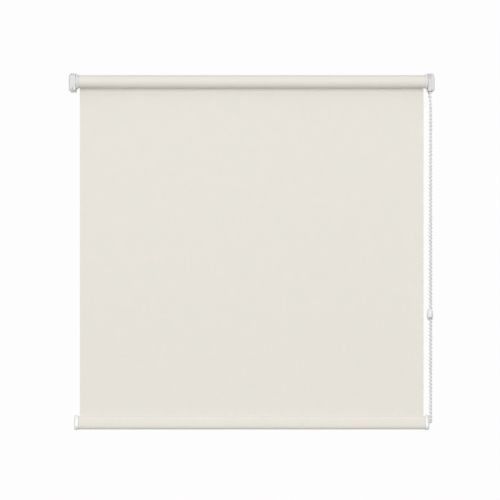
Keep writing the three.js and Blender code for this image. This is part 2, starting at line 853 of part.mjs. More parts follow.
// The left cover also has an arched notch in its front, for a blade that lifts it off
function leftCover() {
  const innerEdge = flangeOut + coverGap;
  const middle = -(innerEdge + notchPlace);
  const radius = notchWidth / 2;
  const notch = new THREE.Shape();
  notch.moveTo(middle + radius, coverBottom - overrun);
  notch.lineTo(middle + radius, coverBottom + notchHeight - radius);
  notch.absarc(middle, coverBottom + notchHeight - radius, radius, 0, Math.PI);
  notch.lineTo(middle - radius, coverBottom - overrun);
  notch.closePath();
  const cut = alongY(notch, coverFrontInside + coverWall, coverFrontInside - coverWall - overrun);
  return bracketCover(-1, innerEdge, 0).subtract(cut);
}

// A section of the rail, like an egg on its blunt end: half of a tall ellipse above the widest level,
// which all the sections share, and half of a flat one below. It lies this far inside the wrap.
function railOutline(inset, top) {
  const level = -dropBelowAxis + railRound;
  const half = railDepth / 2 - inset;
  const upper = new THREE.EllipseCurve(sheetPlace, level, half, top - level, 0, Math.PI);
  const lower = new THREE.EllipseCurve(sheetPlace, level, half, railRound - inset, Math.PI, 2 * Math.PI);
  return polygon([...upper.getPoints(roundSteps), ...lower.getPoints(roundSteps)]);
}

// Extruded profile: lips and a pocket at the top for the spline, a chamber below for the caps
function bottomRail() {
  const skin = wrapThickness + closeFit;
  const end = wrapEnd - endSetBack;
  const bar = alongX(railOutline(skin, railTopFace), -end, end);
  const halfSlot = clothThickness / 2 + wrapThickness + 2 * closeFit;
  const [from, to] = [-end - overrun, end + overrun];
  const slot = box(
    [from, to],
    [sheetPlace - halfSlot, sheetPlace + halfSlot],
    [lipsUnderside - railWall / 2, railTopFace + overrun],
  );
  const pocket = box(
    [from, to],
    [sheetPlace - pocketWidth / 2, sheetPlace + pocketWidth / 2],
    [lipsUnderside - pocketDepth, lipsUnderside],
  );
  const chamber = alongX(chamberOutline(0), from, to);
  return bar.subtract(slot).subtract(pocket).subtract(chamber);
}

// The rail's lower hollow, or a spigot that leaves this gap all round in it
function chamberOutline(gap) {
  const skin = wrapThickness + closeFit + railWall;
  return railOutline(skin + gap, lipsUnderside - pocketDepth - railWall - gap);
}

// Strip of the blind's own cloth around the rail, tucked into the slot at both edges
function railWrap() {
  const outer = alongX(railOutline(0, railTop), -wrapEnd, wrapEnd);
  const inner = alongX(
    railOutline(wrapThickness, railTop - wrapThickness),
    -wrapEnd - overrun,
    wrapEnd + overrun,
  );
  const edge = clothThickness / 2 + closeFit;
  const mouth = box(
    [-wrapEnd - overrun, wrapEnd + overrun],
    [sheetPlace - edge, sheetPlace + edge],
    [railTopFace - overrun, railTopFace + 2 * overrun],
  );
  let wrap = outer.subtract(inner).subtract(mouth);
  for (const way of [-1, 1]) {
    wrap = wrap.add(box(
      [-wrapEnd, wrapEnd],
      [sheetPlace + way * edge, sheetPlace + way * (edge + wrapThickness)],
      [lipsUnderside - tuckDepth, railTop - wrapThickness / 2],
    ));
  }
  return wrap;
}

function clothSpline() {
  const low = lipsUnderside - pocketDepth + looseFit;
  const width = pocketWidth - 2 * looseFit;
  const height = splineTop - low;
  const outline = roundedOutline(width, height, splineCorner, sheetPlace, (splineTop + low) / 2);
  return alongX(outline, -clothEnd, clothEnd);
}

function railCap(side) {
  const inner = wrapEnd + looseFit;
  const spare = capEdge + overrun;
  const outline = railOutline(-capProud, railTop + capProud);
  const block = alongX(
    outline,
    side > 0 ? inner - spare : -(inner + capThickness - capEdge),
    side > 0 ? inner + capThickness - capEdge : -(inner - spare),
    frontEdge(capEdge),
  );
  const towardsMiddle = box(
    [side * (inner - 3 * spare), side * inner],
    [sheetPlace - railHeight, sheetPlace + railHeight],
    [-dropBelowAxis - railHeight, -dropBelowAxis + 2 * railHeight],
  );
  const spigotEnd = inner - spigotLength;
  const spigot = alongX(chamberOutline(looseFit), side * spigotEnd, side * (inner + capThickness / 2));
  const hollow = alongX(chamberOutline(looseFit + spigotWall), side * (spigotEnd - overrun), side * inner);
  return block.subtract(towardsMiddle).add(spigot).subtract(hollow);
}

function beadChain() {
  const points = chainRoute.map((place) => new THREE.Vector3(...place));
  const extrudePath = new Route(points);
  const steps = cordStepsPerPoint * (points.length - 1);
  const section = roundSection(beadRadius, cordSides);
  return solid(new THREE.ExtrudeGeometry(section, { steps, extrudePath }));
}

// One half of the bullet-shaped shell that joins the chain's ends
function connectorHalf(way) {
  const [x, y, z] = chainRoute[connectorIndex];
  const half = connectorHeight / 2;
  const points = [new THREE.Vector2(0, -half)];
  for (const [radiusShare, heightShare] of connectorShares) {
    points.push(new THREE.Vector2(radiusShare * connectorRadius, heightShare * half));
  }
  points.push(new THREE.Vector2(0, half));
  const bullet = new THREE.LatheGeometry(points, smallTurnSteps);
  bullet.rotateX(Math.PI / 2);
  const bore = new THREE.CylinderGeometry(
    connectorBoreRadius,
    connectorBoreRadius,
    connectorHeight + 2 * overrun,
    smallTurnSteps,
  );
  bore.rotateX(Math.PI / 2);
  const arch = new THREE.Shape();
  const archTop = -half + archHeight - archHalfWidth;
  arch.moveTo(archHalfWidth, -half - overrun);
  arch.lineTo(archHalfWidth, archTop);
  arch.absarc(0, archTop, archHalfWidth, 0, Math.PI);
  arch.lineTo(-archHalfWidth, -half - overrun);
  arch.closePath();
  const opening = alongY(arch, 2 * connectorRadius, -2 * connectorRadius);
  const keep = box(
    [-2 * connectorRadius, 2 * connectorRadius],
    [(way * connectorSeam) / 2, way * 2 * connectorRadius],
    [-connectorHeight, connectorHeight],
  );
  const shell = solid(bullet).subtract(solid(bore)).subtract(opening).intersect(keep);
  return shell.translate(x, y, z);
}

// On the roller
piece("roller_tube", aluminium, rollerTube());
piece("cloth_tape", adhesive, adhesiveStrip());
piece("cloth_roll", cloth, clothSpiral());
piece("idle_plug", greyPlastic, idlePlug());
piece("idle_plug_cap", whitePlastic, idlePlugCap());
piece("idle_spring", steel, idleSpring());
piece("drive_crown", greyPlastic, driveCrown());
piece("brake_spring", steel, wrapSpring(0));
piece("release_spring", steel, wrapSpring(1));

// The spring pin
piece("idle_pin", whitePlastic, idlePin());

// The wheel and the chain on it
piece("chain_wheel", darkPlastic, chainWheel());
piece("chain_on_wheel", whitePlastic, chainOnWheel());

// Fixed to the wall
piece("left_bracket", whitePlastic, leftBracket());
piece("right_bracket", whitePlastic, rightBracket());
piece("clutch_core", whitePlastic, clutchCore());
piece("clutch_washer", steel, clutchWasher());
piece("clutch_screw", steel, clutchScrew());
piece("chain_guard", greyPlastic, chainGuard());
piece("left_cover", whitePlastic, leftCover());
piece("right_cover", whitePlastic, bracketCover(1, coreFlangeIn + looseFit, coverLap));

// The hanging cloth, the rail and the chain
piece("cloth_panel", cloth, box(
  [-clothEnd, clothEnd],
  [sheetPlace - clothThickness / 2, sheetPlace + clothThickness / 2],
  [splineTop, 0],
));
piece("bottom_rail", aluminium, bottomRail());
piece("rail_wrap", cloth, railWrap());
piece("cloth_spline", greyPlastic, clothSpline());
piece("left_rail_cap", whitePlastic, railCap(-1));
piece("right_rail_cap", whitePlastic, railCap(1));
piece("bead_chain", greyPlastic, beadChain());
piece("connector_front", whitePlastic, connectorHalf(-1));
piece("connector_rear", whitePlastic, connectorHalf(1));

blind.position.set(wallFaceMiddle, -axisToWall, 0);

export default blind;
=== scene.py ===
# Roller blind with a bead chain drive, dressed over its construction. The camera and the chain come
# first, and then the blind as it is put together: tube and cloth, the two ends, the covers, the rail.
# Lengths are metres. X runs along the roller to the chain's end, the wall is towards +Y, +Z is up.

import math

import bmesh
import bpy
from mathutils import Matrix, Vector
from mathutils.geometry import interpolate_bezier


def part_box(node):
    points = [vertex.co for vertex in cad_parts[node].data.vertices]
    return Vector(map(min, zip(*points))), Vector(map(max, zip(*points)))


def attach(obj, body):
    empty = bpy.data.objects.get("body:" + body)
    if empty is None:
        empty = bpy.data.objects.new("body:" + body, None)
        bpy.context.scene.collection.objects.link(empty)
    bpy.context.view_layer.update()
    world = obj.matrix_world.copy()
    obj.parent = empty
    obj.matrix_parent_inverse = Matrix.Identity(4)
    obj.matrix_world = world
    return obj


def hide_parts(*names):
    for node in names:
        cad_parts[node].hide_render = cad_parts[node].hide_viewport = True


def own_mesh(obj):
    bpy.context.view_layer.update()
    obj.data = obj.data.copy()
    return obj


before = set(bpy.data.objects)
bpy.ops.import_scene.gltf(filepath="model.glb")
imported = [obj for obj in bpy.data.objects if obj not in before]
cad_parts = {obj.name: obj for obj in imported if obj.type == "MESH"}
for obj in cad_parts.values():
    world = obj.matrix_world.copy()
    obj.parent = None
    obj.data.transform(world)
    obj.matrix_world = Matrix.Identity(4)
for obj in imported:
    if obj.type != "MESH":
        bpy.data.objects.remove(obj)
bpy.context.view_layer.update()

# Camera
# It stands in the room, level with the middle of the cloth and straight before it, far enough away
# to flatten the blind.
scene = bpy.context.scene
camera_place = (0.29085, -2.820, -0.2765)
camera_lens = 122.7  # millimetres, for the default sensor
camera = bpy.data.objects.new("camera", bpy.data.cameras.new("camera"))
camera.data.lens = camera_lens
camera.location = camera_place
camera.rotation_euler = (math.pi / 2, 0, 0)
scene.collection.objects.link(camera)
scene.camera = camera
scene.view_settings.view_transform = "Standard"

# Meshes
# Faces that turn by more than the crease meet in a sharp edge. Points closer than the weld are one.
crease = math.radians(38)
weld = 1e-7
roller_axis = (0, -0.020, 0)  # a point on it, from which round parts are turned

# Bead chain
# Acetal beads moulded onto an endless polyester string. Its front strand leaves the guard in front of
# the rail's cap, its rear strand beside that cap, and the loop hangs below.
bead_radius = 0.00225
bead_pitch = 0.006
string_radius = 0.0006
line_steps = 12  # between two points of the route
string_skip = 3  # the string's tube takes every third point
chain_route = [
    (0.58605, -0.0297, -0.0106),
    (0.58605, -0.0297, -0.0200),
    (0.58595, -0.0293, -0.0500),
    (0.58585, -0.0287, -0.0950),
    (0.58585, -0.0278, -0.1550),
    (0.58585, -0.0270, -0.2250),
    (0.58585, -0.0265, -0.3000),
    (0.58585, -0.0264, -0.3820),
    (0.58585, -0.0266, -0.4500),
    (0.58605, -0.0276, -0.5030),
    (0.58635, -0.0288, -0.5330),
    (0.58655, -0.0293, -0.5499),
    (0.58685, -0.0266, -0.5565),
    (0.58755, -0.0200, -0.5592),
    (0.58905, -0.0134, -0.5565),
    (0.58905, -0.0107, -0.5499),
    (0.58905, -0.0112, -0.5330),
    (0.58905, -0.0124, -0.5030),
    (0.58905, -0.0134, -0.4500),
    (0.58905, -0.0138, -0.3800),
    (0.58905, -0.0136, -0.3000),
    (0.58905, -0.0131, -0.2250),
    (0.58905, -0.0123, -0.1550),
    (0.58905, -0.0113, -0.0950),
    (0.58895, -0.0106, -0.0420),
    (0.58735, -0.0104, -0.0270),
    (0.58605, -0.0103, -0.0180),
    (0.58605, -0.0103, -0.0106),
]
connector_index = 7


def linear(code):
    """An sRGB hex colour as linear light."""
    shares = [int(code[i : i + 2], 16) / 255 for i in (0, 2, 4)]
    return (*(((c + 0.055) / 1.055) ** 2.4 if c > 0.04045 else c / 12.92 for c in shares), 1)


def add(tree, kind, inputs={}, **properties):
    """Adds a shader node. Each input, by name or number, is a value or another node's output."""
    new = tree.nodes.new("ShaderNode" + kind)
    for name, value in properties.items():
        setattr(new, name, value)
    for name, value in inputs.items():
        if isinstance(value, bpy.types.NodeSocket):
            tree.links.new(value, new.inputs[name])
        else:
            new.inputs[name].default_value = value
    return new


def finish(name, **constants):
    """A new material with these constants on its surface: its node tree, and the surface itself."""
    material = bpy.data.materials.new(name)
    material.use_nodes = True
    surface = material.node_tree.nodes["Principled BSDF"]
    for socket, value in constants.items():
        surface.inputs[socket.replace("_", " ")].default_value = value
    return material, material.node_tree, surface


def patterned(tree, surface, tone, light, dark, relief, gloss, strength, height):
    """Varies a surface's colour with the tone pattern, and its roughness and bumps with the relief."""
    tint = add(tree, "Mix", {0: tone, 6: linear(dark), 7: linear(light)}, data_type="RGBA")
    tree.links.new(tint.outputs[2], surface.inputs["Base Color"])
    shine = add(tree, "MapRange", {"Value": relief, "To Min": gloss[0], "To Max": gloss[1]})
    tree.links.new(shine.outputs["Result"], surface.inputs["Roughness"])
    bump = add(tree, "Bump", {"Height": relief, "Strength": strength, "Distance": height})
    tree.links.new(bump.outputs["Normal"], surface.inputs["Normal"])


def moulded(name, light, dark, roughness, grain, height):
    """Moulded plastic: flow marks vary its colour a little, and the mould's spark-eroded grain its gloss.

    Light goes about a millimetre into it, which softens the shade in grooves and on beads.
    """
    flow_size = 0.014
    gloss_spread = 0.07
    depth = {"Subsurface_Weight": 0.2, "Subsurface_Radius": (1, 1, 1), "Subsurface_Scale": 0.001}
    material, tree, surface = finish(name, IOR=1.49, **depth)
    place = add(tree, "TexCoord").outputs["Object"]
    flow = add(tree, "TexNoise", {"Vector": place, "Scale": 1 / flow_size, "Detail": 2}).outputs["Fac"]
    skin = add(tree, "TexNoise", {"Vector": place, "Scale": 1 / grain, "Detail": 3}).outputs["Fac"]
    gloss = roughness - gloss_spread, roughness + gloss_spread
    patterned(tree, surface, flow, light, dark, skin, gloss, 0.6, height)
    return material


def piece(name, bm, material, body, slot, *nodes):
    """A finished mesh as a named piece, with its body and the CAD nodes that it stands for. The slot is
    not used.
    """
    bmesh.ops.recalc_face_normals(bm, faces=bm.faces)
    mesh = bpy.data.meshes.new(name)
    bm.to_mesh(mesh)
    bm.free()
    mesh.shade_smooth()
    mesh.set_sharp_from_angle(angle=crease)
    mesh.materials.append(material)
    made = bpy.data.objects.new(name, mesh)
    scene.collection.objects.link(made)
    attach(made, body)
    if nodes:
        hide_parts(*nodes)
    return made


def smooth_line(route):
    """The points of a smooth line through a route. Each place's neighbours give its heading."""
    points = [Vector(place) for place in route]
    last = len(points) - 1
    ways = [(points[min(i + 1, last)] - points[max(i - 1, 0)]).normalized() for i in range(last + 1)]
    line = []
    for i in range(last):
        third = (points[i + 1] - points[i]).length / 3
        handles = points[i] + ways[i] * third, points[i + 1] - ways[i + 1] * third
        line += interpolate_bezier(points[i], *handles, points[i + 1], line_steps)[:-1]
    return [*line, points[-1]]


def tube(bm, line, radius, rounding):
    """Adds a round tube with closed ends along a line."""
    curve = bpy.data.curves.new("tube", "CURVE")
    curve.dimensions = "3D"
    curve.bevel_depth = radius
    curve.bevel_resolution = rounding
    curve.use_fill_caps = True
    spline = curve.splines.new("POLY")
    spline.points.add(len(line) - 1)
    for point, place in zip(spline.points, line):
        point.co = (*place, 1)
    holder = bpy.data.objects.new("tube", curve)
    mesh = bpy.data.meshes.new_from_object(holder)
    bm.from_mesh(mesh)
    bmesh.ops.remove_doubles(bm, verts=bm.verts, dist=weld)
    bpy.data.objects.remove(holder)
    bpy.data.curves.remove(curve)
    bpy.data.meshes.remove(mesh)


def bead(bm, place, way):
    """Adds a bead, with its poles on the string."""
    turn = Vector((0, 0, 1)).rotation_difference(way).to_matrix().to_4x4()
    matrix = Matrix.Translation(place) @ turn
    bmesh.ops.create_uvsphere(bm, u_segments=10, v_segments=8, radius=bead_radius, matrix=matrix)


# White acetal looks a little waxy, with small soft highlights on the beads
acetal = moulded("moulded acetal", "EBEBEC", "E1E1E3", 0.34, 0.0008, 0.00002)
chain_line = smooth_line(chain_route)
chain_mesh = bmesh.new()
tube(chain_mesh, chain_line[::string_skip], string_radius, 1)
walked, next_bead = 0.0, bead_pitch / 2
for a, b in zip(chain_line, chain_line[1:]):
    while next_bead <= walked + (b - a).length:
        bead(chain_mesh, a.lerp(b, (next_bead - walked) / (b - a).length), (b - a).normalized())
        next_bead += bead_pitch
    walked += (b - a).length
chain = piece("beaded_string", chain_mesh, acetal, "frame", "white_plastic", "bead_chain")

# Chain connector
# Two moulded half shells that snap round the two end beads. The shell is shaped as a bulb, and an
# arch at the foot of its front half lets a strong pull draw the lower bead out.
connector_radius = 0.0053
connector_half_height = 0.0092
connector_bore = 0.0028
connector_seam = 0.0001  # half of the gap between the two shells
arch_radius = 0.0029
arch_top = -0.0036
connector_edge = 0.00025  # rounding of its rims
bulb_shares = [
    (0.70, -1), (0.80, -0.9), (0.91, -0.7), (0.98, -0.42), (1, -0.15),
    (0.98, 0.15), (0.92, 0.4), (0.83, 0.6), (0.71, 0.8), (0.6, 1),
]  # of its radius and half its height


def turned(profile, centre=roller_axis, axis="X", steps=72):
    """A solid turned about an axis through centre, from [place along it, radius] points."""
    ways = {"X": (Vector((1, 0, 0)), Vector((0, 0, 1))), "Z": (Vector((0, 0, 1)), Vector((1, 0, 0)))}
    along, out = ways[axis]
    bm = bmesh.new()
    places = [Vector(centre) + along * place + out * radius for place, radius in profile]
    verts = [bm.verts.new(place) for place in places]
    edges = [bm.edges.new(pair) for pair in zip(verts, verts[1:])]
    if profile[0][1] > 0:
        edges.append(bm.edges.new((verts[-1], verts[0])))
    whole = {"angle": 2 * math.pi, "steps": steps, "use_merge": True}
    bmesh.ops.spin(bm, geom=verts + edges, cent=centre, axis=along, **whole)
    bmesh.ops.remove_doubles(bm, verts=bm.verts, dist=weld)
    return bm


def pushed(places, way):
    """A solid from an outline's places, pushed along way."""
    bm = bmesh.new()
    face = bm.faces.new([bm.verts.new(place) for place in places])
    moved = bmesh.ops.extrude_face_region(bm, geom=[face])["geom"]
    bmesh.ops.translate(bm, verts=[v for v in moved if isinstance(v, bmesh.types.BMVert)], vec=way)
    bmesh.ops.recalc_face_normals(bm, faces=bm.faces)
    return bm


def domed(bm, face, reach, shares, middle, steps=8):
    """Carries a face on by reach along a quarter round, while it shrinks about middle to these shares."""
    for i in range(steps):
        near, far = (math.pi / 2 * (i + k) / steps for k in (0, 1))
        face = bmesh.ops.extrude_discrete_faces(bm, faces=[face])["faces"][0]
        bmesh.ops.translate(bm, verts=face.verts, vec=Vector(reach) * (math.sin(far) - math.sin(near)))
        before, after = ([1 - (1 - share) * (1 - math.cos(a)) for share in shares] for a in (near, far))
        ratios = [b / a for a, b in zip(before, after)]
        bmesh.ops.scale(bm, verts=face.verts, vec=ratios, space=Matrix.Translation(-Vector(middle)))


def block(low, high):
    """A box between two corners."""
    low, high = Vector(low), Vector(high)
    bm = bmesh.new()
    matrix = Matrix.Translation((low + high) / 2) @ Matrix.Diagonal((*(high - low), 1))
    bmesh.ops.create_cube(bm, size=1, matrix=matrix)
    return bm


def arc(middle, radii, start, end, steps):
    """Points on a round or elliptical arc, with its angles in degrees."""
    angles = [math.radians(start + (end - start) * i / steps) for i in range(steps + 1)]
    return [(middle[0] + radii[0] * math.cos(a), middle[1] + radii[1] * math.sin(a)) for a in angles]


def combined(bm, other, operation):
    """Two solids joined, cut or intersected by an exact boolean. Both are used up."""
    parts = []
    for solid in (bm, other):
        bmesh.ops.recalc_face_normals(solid, faces=solid.faces)
        mesh = bpy.data.meshes.new("part")
        solid.to_mesh(mesh)
        solid.free()
        parts.append(bpy.data.objects.new("part", mesh))
        scene.collection.objects.link(parts[-1])
    modifier = parts[0].modifiers.new("boolean", "BOOLEAN")
    modifier.operation = operation
    modifier.solver = "EXACT"
    modifier.object = parts[1]
    bpy.context.view_layer.update()
    result = bmesh.new()
    result.from_object(parts[0], bpy.context.evaluated_depsgraph_get())
    for part in parts:
        bpy.data.meshes.remove(part.data)
    return result


def softened(made, width, segments=2):
    """Rounds a piece's sharp edges, as from a mould or a tumbler, and keeps its flat faces flat."""
    bevel = made.modifiers.new("soft edges", "BEVEL")
    bevel.width = width
    bevel.segments = segments
    bevel.limit_method = "ANGLE"
    bevel.angle_limit = crease
    made.modifiers.new("flat faces", "WEIGHTED_NORMAL").keep_sharp = True
    return made


connector_place = Vector(chain_route[connector_index])
bulb = [(height * connector_half_height, radius * connector_radius) for radius, height in bulb_shares]
bulb += [(connector_half_height, connector_bore), (-connector_half_height, connector_bore)]
for name, way in (("front", -1), ("rear", 1)):
    half = turned(bulb, connector_place, "Z", 64)
    arch_middle = (connector_place.x, connector_place.z + arch_top - arch_radius)
    arch = arc(arch_middle, (arch_radius, arch_radius), 0, 180, 24)
    low = connector_place.z - 2 * connector_half_height
    outline = [(arch[0][0], low), *arch, (arch[-1][0], low)]
    depth = 4 * connector_radius
    places = [(x, connector_place.y - depth, z) for x, z in outline]
    half = combined(half, pushed(places, (0, depth, 0)), "DIFFERENCE")
    corner = Vector((2, 0, 2)) * connector_half_height
    near = connector_place + Vector((0, way * connector_seam, 0))
    far = connector_place + Vector((0, way * depth, 0))
    corners = [near - corner, far + corner] if way > 0 else [far - corner, near + corner]
    half = combined(half, block(*corners), "INTERSECT")
    node = "connector_" + name
    made = piece("chain_" + node, half, acetal, "frame", "white_plastic", node)
    softened(made, connector_edge)

# Roller tube and its adhesive strip
# An extruded aluminium tube with a key along its inside, and the double-sided strip that holds the
# cloth on it. Drawing through the die leaves fine lines along the tube.
middle_x = sum(corner.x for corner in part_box("roller_tube")) / 2
axis_y = sum(corner.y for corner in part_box("roller_tube")) / 2


def drawn_metal(name, light, dark, roughness, line_width, line_length):
    """Drawn or extruded metal: long fine lines along X in its tone and its gloss."""
    gloss_spread = 0.08
    line_depth = 0.00002
    material, tree, surface = finish(name, Metallic=1.0)
    place = add(tree, "TexCoord").outputs["Object"]
    stretch = {"Vector": place, "Scale": (1 / line_length, 1 / line_width, 1 / line_width)}
    stretched = add(tree, "Mapping", stretch).outputs["Vector"]
    lines = add(tree, "TexNoise", {"Vector": stretched, "Scale": 1}).outputs["Fac"]
    gloss = roughness - gloss_spread, roughness + gloss_spread
    patterned(tree, surface, lines, light, dark, lines, gloss, 0.4, line_depth)
    return material


def dress(node, material):
    """Gives a CAD node its finish."""
    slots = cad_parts[node].data.materials
    slots.clear()
    slots.append(material)


# Mill-finished aluminium is pale, satin and streaked along its length
mill_aluminium = drawn_metal("mill-finished aluminium", "D0D2D4", "B6B9BC", 0.34, 0.0003, 0.03)
tube_radius, tube_wall = 0.009, 0.0008
key_half_width, key_height = 0.0007, 0.0011
bore = tube_radius - tube_wall
tube_start, tube_end = (corner.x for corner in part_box("roller_tube"))
ring = [(tube_start, tube_radius), (tube_end, tube_radius), (tube_end, bore), (tube_start, bore)]
key_low = (tube_start, axis_y - key_half_width, -bore - tube_wall / 2)
key = block(key_low, (tube_end, axis_y + key_half_width, key_height - bore))
keyed_tube = combined(turned(ring, steps=96), key, "UNION")
piece("keyed_tube", keyed_tube, mill_aluminium, "roller", "aluminium", "roller_tube")
# Acrylic tape has a faint cream tone and a wet gloss
dress("cloth_tape", moulded("acrylic adhesive tape", "F4F0DF", "EAE4CD", 0.3, 0.002, 0.00003))

# Cloth on the roller
# The blind's own cloth, polyester woven fine and coated until no light passes, wound two and a half
# times round the tube. Its outer layer leaves at the rear as the hanging cloth.
cloth_low, cloth_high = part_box("cloth_roll")
cloth_thickness = 0.00042
layer_pitch = 0.00044
wraps = 2.5
roll_radius = 0.01072  # to the outer face, where the hanging cloth leaves
steps_per_turn = 72
flange_play = 0.0004  # of the wound cloth, which spreads till it touches the flanges


def coated_cloth(name, on_map):
    """Coated blackout cloth, on the piece's own map or, where the cloth hangs flat, on its place."""
    thread_pitch = 0.0005
    slub_width, slub_length = 0.0011, 0.035
    cloud_size = 0.03
    sheen = {"Sheen_Weight": 0.12, "Sheen_Roughness": 0.5}
    material, tree, surface = finish(name, Roughness=0.82, IOR=1.45, **sheen)
    coordinates = add(tree, "TexCoord")
    if on_map:
        flat = coordinates.outputs["UV"]
        across, along = add(tree, "SeparateXYZ", {0: flat}).outputs[:2]
    else:
        apart = add(tree, "SeparateXYZ", {0: coordinates.outputs["Object"]})
        across, along = apart.outputs["X"], apart.outputs["Z"]
        flat = add(tree, "CombineXYZ", {"X": across, "Y": along}).outputs["Vector"]
    # Clouds of a faintly pink and a faintly green tone, as the coating dries
    blotches = {"Vector": flat, "Scale": 1 / cloud_size, "Detail": 4, "Roughness": 0.7}
    clouds = add(tree, "TexNoise", blotches).outputs["Fac"]
    ends = {0: clouds, 6: linear("ECE3DE"), 7: linear("E1E3D7")}
    tint = add(tree, "Mix", ends, data_type="RGBA")
    # Slubs: thicker yarns that show as faint dashes both ways
    heights = []
    for size in ((slub_length, slub_width, 1), (slub_width, slub_length, 1)):
        stretch = {"Vector": flat, "Scale": [1 / length for length in size]}
        stretched = add(tree, "Mapping", stretch).outputs["Vector"]
        dashes = add(tree, "TexNoise", {"Vector": stretched, "Scale": 1})
        heights.append(dashes.outputs["Fac"])
    slubs = add(tree, "Math", {0: heights[0], 1: heights[1]}, operation="ADD").outputs["Value"]
    spread = {"Value": slubs, "From Min": 0.7, "From Max": 1.3, "To Min": 0.978, "To Max": 1.007}
    shade = add(tree, "MapRange", spread)
    dyed = {0: 1.0, 6: tint.outputs[2], 7: shade.outputs["Result"]}
    colour = add(tree, "Mix", dyed, data_type="RGBA", blend_type="MULTIPLY")
    tree.links.new(colour.outputs[2], surface.inputs["Base Color"])
    # Plain weave: the product of two waves stands up at every second crossing
    waves = []
    for way in (across, along):
        phase = add(tree, "Math", {0: way, 1: 2 * math.pi / thread_pitch}, operation="MULTIPLY")
        waves.append(add(tree, "Math", {0: phase.outputs["Value"]}, operation="SINE").outputs["Value"])
    weave = add(tree, "Math", {0: waves[0], 1: waves[1]}, operation="MULTIPLY").outputs["Value"]
    relief = add(tree, "Math", {0: weave, 1: 0.25, 2: slubs}, operation="MULTIPLY_ADD").outputs["Value"]
    bump = add(tree, "Bump", {"Height": relief, "Strength": 0.5, "Distance": 0.00005})
    tree.links.new(bump.outputs["Normal"], surface.inputs["Normal"])
    return material


def ribbon(line, start, end, steps):
    """Cloth across the blind from one X to another, along a line of (Y, Z) points, mapped in metres."""
    bm = bmesh.new()
    layer = bm.verts.layers.float.new("along")
    verts = [bm.verts.new((start, *place)) for place in line]
    for a, b in zip(verts, verts[1:]):
        b[layer] = a[layer] + (b.co - a.co).length
    edges = [bm.edges.new(pair) for pair in zip(verts, verts[1:])]
    for _ in range(steps):
        moved = bmesh.ops.extrude_edge_only(bm, edges=edges)["geom"]
        edges = [e for e in moved if isinstance(e, bmesh.types.BMEdge)]
        step = ((end - start) / steps, 0, 0)
        bmesh.ops.translate(bm, verts=[v for v in moved if isinstance(v, bmesh.types.BMVert)], vec=step)
    chart = bm.loops.layers.uv.new("cloth")
    for face in bm.faces:
        for loop in face.loops:
            loop[chart].uv = (loop.vert.co.x, loop.vert[layer])
    return bm


def thickened(made, thickness):
    """Gives a sheet its thickness, half to each side, with crisp cut edges."""
    bm = bmesh.new()
    bm.from_mesh(made.data)
    for edge in bm.edges:
        edge.smooth = not edge.is_boundary
    bm.to_mesh(made.data)
    bm.free()
    solidify = made.modifiers.new("thickness", "SOLIDIFY")
    solidify.thickness = thickness
    solidify.offset = 0
    return made


# The same cloth on the rolled and folded pieces, and on the hanging piece
wrapped_cloth = coated_cloth("coated blackout cloth, wound", True)
hanging_cloth = coated_cloth("coated blackout cloth, hanging", False)
spiral = []
for i in range(round(wraps * steps_per_turn) + 1):
    turn = i / steps_per_turn
    radius = roll_radius - cloth_thickness / 2 - layer_pitch * turn
    angle = 2 * math.pi * turn
    spiral.append((axis_y + radius * math.cos(angle), radius * math.sin(angle)))
roll_mesh = ribbon(spiral, cloth_low.x - flange_play, cloth_high.x + flange_play, 1)
roll = piece("wound_cloth", roll_mesh, wrapped_cloth, "roller", "cloth", "cloth_roll")
thickened(roll, cloth_thickness)
cloth_width = cloth_high.x - cloth_low.x

# Flanged plugs
# Moulded plugs close the tube's ends. Each one's flange steers the cloth: its rim is full at the
# outside and tapers straight towards the cloth. A slot takes the tube's key.
flange_radius = 0.0127
flange_thickness = 0.0047
rim_width = 0.0019  # full part of the rim
rim_edge = 0.0003
taper_radius = 0.0111  # of the rim beside the cloth
plug_radius = 0.0079
plug_chamfer = 0.0008
key_slot = (0.0010, 0.0068)  # half its width, and its floor's distance from the axis
pin_hole_radius = 0.00275
barrel_bore = 0.0043
bore_wall = 0.002  # before the barrel's bore
crown_bore = 0.0066
bearing_radius = 0.0035
crown_end_wall = 0.004
drive_rib_radii = (0.0053, 0.0071)  # of the rib in the crown's bore that the springs' ends push
drive_rib_half = 30  # degrees
plug_edge = 0.0002  # rounding of the flanges and the plugs
overrun = 0.001  # of a cutter, past what it cuts
joint_lap = 0.0003  # of solids that are joined


def flanged_plug(outer, end, bore_profile):
    """A plug from its flange's outer face to its end in the tube."""
    way = math.copysign(1, end - outer)
    flange_in = outer + way * flange_thickness
    rim = arc((outer + way * rim_edge, flange_radius - rim_edge), (-way * rim_edge, rim_edge), 0, 90, 6)
    profile = [
        *rim,
        (outer + way * rim_width, flange_radius),
        (flange_in, taper_radius),
        (flange_in, plug_radius),
        (end - way * plug_chamfer, plug_radius),
        (end, plug_radius - plug_chamfer),
        *bore_profile,
    ]
    half_width, floor = key_slot
    cut_start, cut_end = sorted((flange_in, end + way * overrun))
    slot_low = (cut_start, axis_y - half_width, -flange_radius)
    cutter = block(slot_low, (cut_end, axis_y + half_width, -floor))
    return combined(turned(profile, steps=96), cutter, "DIFFERENCE")


